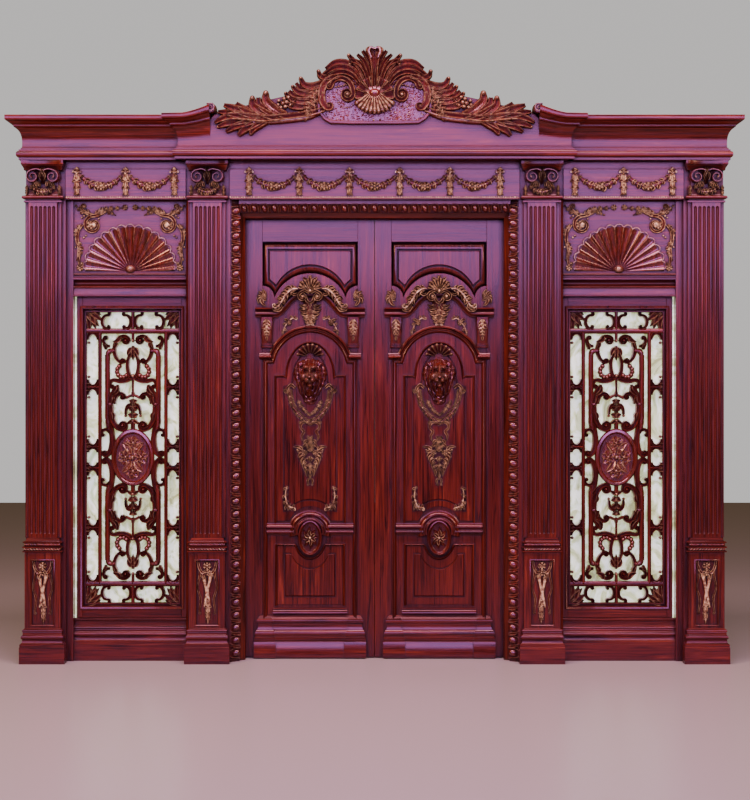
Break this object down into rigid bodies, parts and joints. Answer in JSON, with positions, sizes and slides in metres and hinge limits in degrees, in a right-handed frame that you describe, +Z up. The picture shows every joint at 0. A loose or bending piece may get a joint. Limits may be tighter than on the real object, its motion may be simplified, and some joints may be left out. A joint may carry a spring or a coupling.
{
  "type": "carved double entrance door with sidelights",
  "caption": "Double-leaf carved wooden entrance door in its frame, with fluted pilasters, sidelights with carved grilles, a swagged frieze and a broken pediment with a shell crest.",
  "frame": {"origin": "on the floor, in the middle of the frame's width and depth", "axes": "+Z up, the carved front faces -Y, the wall side faces +Y, +X to the right as seen from the front"},
  "size_m": [3.957, 0.436, 3.313],
  "materials": {
    "mahogany": "glossy lacquered deep red-brown mahogany, grain upright",
    "gilded_carving": "lacquered carving with bronze-gold rubbed on the high places",
    "art_glass": "marbled cream and pale green art glass",
    "hinge_steel": "satin"
  },
  "bodies": {
    "surround": {"shaft_outer_left": "mahogany", "shaft_outer_right": "mahogany", "capital_outer_left": "gilded_carving", "capital_outer_right": "gilded_carving", "pedestal_outer_left": "mahogany", "pedestal_outer_right": "mahogany", "shaft_inner_left": "mahogany", "shaft_inner_right": "mahogany", "capital_inner_left": "gilded_carving", "capital_inner_right": "gilded_carving", "pedestal_inner_left": "mahogany", "pedestal_inner_right": "mahogany", "post_left": "mahogany", "post_right": "mahogany", "jamb_left": "mahogany", "jamb_right": "mahogany", "door_head": "mahogany", "head_beam": "mahogany", "frieze_left": "mahogany", "frieze_right": "mahogany", "frieze_centre": "mahogany", "cornice_left": "mahogany", "cornice_right": "mahogany", "pediment": "mahogany", "crest": "gilded_carving", "base_rail_left": "mahogany", "base_rail_right": "mahogany", "transom_left": "mahogany", "transom_right": "mahogany", "shell_panel_left": "gilded_carving", "shell_panel_right": "gilded_carving", "sash_left": "mahogany", "sash_right": "mahogany", "glass_left": "art_glass", "glass_right": "art_glass", "grille_left": "gilded_carving", "grille_right": "gilded_carving", "hinge_1_frame_left": "hinge_steel", "hinge_1_frame_right": "hinge_steel", "hinge_2_frame_left": "hinge_steel", "hinge_2_frame_right": "hinge_steel", "hinge_3_frame_left": "hinge_steel", "hinge_3_frame_right": "hinge_steel"},
    "leaf_body_left": {"leaf_left": "mahogany", "leaf_crown_left": "gilded_carving", "leaf_carving_left": "gilded_carving", "leaf_rosette_left": "gilded_carving", "leaf_plinth_left": "mahogany", "hinge_1_leaf_left": "hinge_steel", "hinge_2_leaf_left": "hinge_steel", "hinge_3_leaf_left": "hinge_steel"},
    "leaf_body_right": {"leaf_right": "mahogany", "leaf_crown_right": "gilded_carving", "leaf_carving_right": "gilded_carving", "leaf_rosette_right": "gilded_carving", "leaf_plinth_right": "mahogany", "hinge_1_leaf_right": "hinge_steel", "hinge_2_leaf_right": "hinge_steel", "hinge_3_leaf_right": "hinge_steel"}
  },
  "joints": [
    {"name": "door_left", "type": "hinge", "parent": "surround", "child": "leaf_body_left", "pos_m": [-0.722, 0.206, 0], "axis": [0, 0, 1], "range_deg": [0, 100]},
    {"name": "door_right", "type": "hinge", "parent": "surround", "child": "leaf_body_right", "pos_m": [0.722, 0.206, 0], "axis": [0, 0, -1], "range_deg": [0, 100]}
  ]
}
